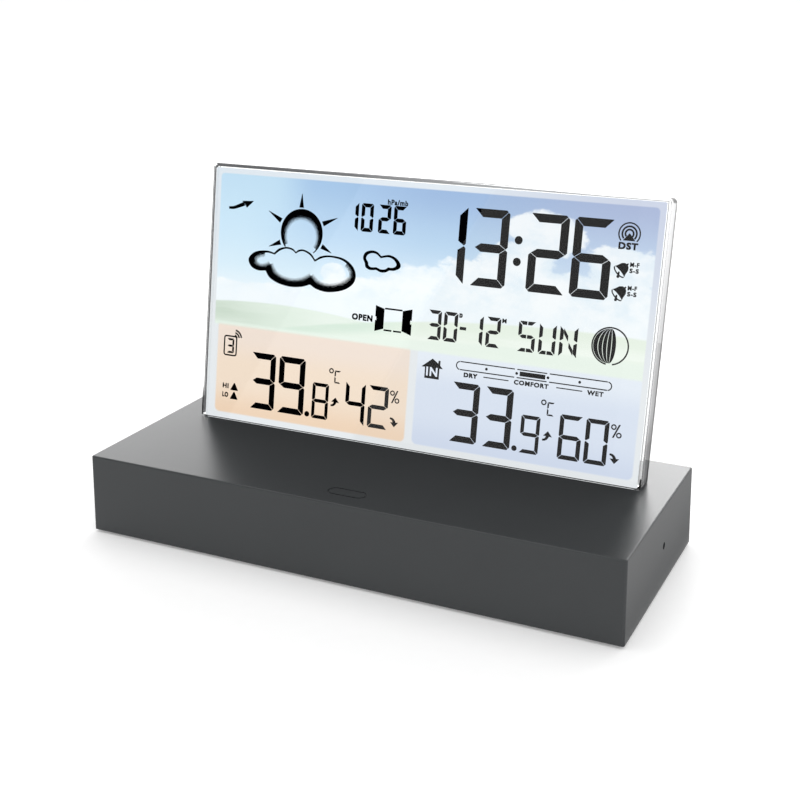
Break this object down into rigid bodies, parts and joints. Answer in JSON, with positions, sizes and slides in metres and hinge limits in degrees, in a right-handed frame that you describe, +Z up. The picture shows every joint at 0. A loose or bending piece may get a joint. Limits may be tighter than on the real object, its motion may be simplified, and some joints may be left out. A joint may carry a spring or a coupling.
{
  "type": "home weather station",
  "caption": "Desk weather station: a clear acrylic colour display leaning back out of a low, dark rectangular base with keys and a power inlet at the rear.",
  "frame": {"origin": "centre of the base's footprint, on the surface that the rubber feet stand on", "axes": "+X along the front towards the right, +Y towards the back, +Z up"},
  "size_m": [0.1814, 0.0746, 0.1139],
  "materials": {
    "clear_acrylic": "polished, clear",
    "display_glass": "polished",
    "printed_film": "translucent colour print",
    "white_diffuser": "matte, translucent",
    "base_plastic": "satin, fine moulded grain",
    "inner_plastic": "matte",
    "key_plastic": "satin",
    "foot_rubber": "matte",
    "screw_steel": "zinc plated",
    "spring_steel": "nickel plated",
    "circuit_board": "satin solder mask",
    "chip_resin": "matte",
    "white_plastic": "satin",
    "bright_metal": "satin",
    "copper_wire": "enamelled",
    "flex_film": "satin",
    "wire_sleeve": "satin",
    "ferrite": "matte",
    "cell_sleeve": "glossy sleeve"
  },
  "bodies": {
    "station": {"front_glass": "clear_acrylic", "light_guide_block": "clear_acrylic", "lcd_cell": "display_glass", "colour_film": "printed_film", "diffuser_sheet": "white_diffuser", "lcd_ribbon": "flex_film", "panel_cradle": "inner_plastic", "cradle_screws": "screw_steel", "panel_pins": "screw_steel", "led_board": "circuit_board", "backlight_leds": "white_plastic", "led_leads": "wire_sleeve", "base_cover": "base_plastic", "base_plate": "base_plastic", "rubber_feet": "foot_rubber", "base_screws": "screw_steel", "battery_cells": "cell_sleeve", "battery_contacts": "spring_steel", "battery_springs": "spring_steel", "battery_leads": "wire_sleeve", "main_board": "circuit_board", "board_screws": "screw_steel", "display_driver": "chip_resin", "clock_crystal": "bright_metal", "smoothing_capacitor": "bright_metal", "radio_module": "bright_metal", "radio_aerial": "copper_wire", "buzzer": "chip_resin", "board_connectors": "white_plastic", "touch_electrode": "copper_wire", "touch_spring": "spring_steel", "ferrite_rod": "ferrite", "aerial_coil": "copper_wire", "aerial_leads": "copper_wire", "rear_board": "circuit_board", "rear_screws": "screw_steel", "link_cable": "white_plastic", "key_switches": "chip_resin", "power_jack": "chip_resin", "jack_pin": "spring_steel", "sensor_board": "circuit_board", "climate_sensor": "white_plastic", "sensor_leads": "wire_sleeve"},
    "battery_door": {"battery_door": "base_plastic"},
    "key_1": {"key_cap_1": "key_plastic", "switch_stem_1": "white_plastic"},
    "key_2": {"key_cap_2": "key_plastic", "switch_stem_2": "white_plastic"},
    "key_3": {"key_cap_3": "key_plastic", "switch_stem_3": "white_plastic"},
    "key_4": {"key_cap_4": "key_plastic", "switch_stem_4": "white_plastic"},
    "key_5": {"key_cap_5": "key_plastic", "switch_stem_5": "white_plastic"},
    "key_6": {"key_cap_6": "key_plastic", "switch_stem_6": "white_plastic"}
  },
  "joints": [
    {"name": "battery_door_slide", "type": "slide", "parent": "station", "child": "battery_door", "axis": [0, 1, 0], "range_m": [0, 0.006]},
    {"name": "key_1_press", "type": "slide", "parent": "station", "child": "key_1", "axis": [0, -1, 0], "range_m": [0, 0.0005], "stiffness_N_per_m": 400, "springref_m": -0.0005},
    {"name": "key_2_press", "type": "slide", "parent": "station", "child": "key_2", "axis": [0, -1, 0], "range_m": [0, 0.0005], "stiffness_N_per_m": 400, "springref_m": -0.0005},
    {"name": "key_3_press", "type": "slide", "parent": "station", "child": "key_3", "axis": [0, -1, 0], "range_m": [0, 0.0005], "stiffness_N_per_m": 400, "springref_m": -0.0005},
    {"name": "key_4_press", "type": "slide", "parent": "station", "child": "key_4", "axis": [0, -1, 0], "range_m": [0, 0.0005], "stiffness_N_per_m": 400, "springref_m": -0.0005},
    {"name": "key_5_press", "type": "slide", "parent": "station", "child": "key_5", "axis": [0, -1, 0], "range_m": [0, 0.0005], "stiffness_N_per_m": 400, "springref_m": -0.0005},
    {"name": "key_6_press", "type": "slide", "parent": "station", "child": "key_6", "axis": [0, -1, 0], "range_m": [0, 0.0005], "stiffness_N_per_m": 400, "springref_m": -0.0005}
  ]
}
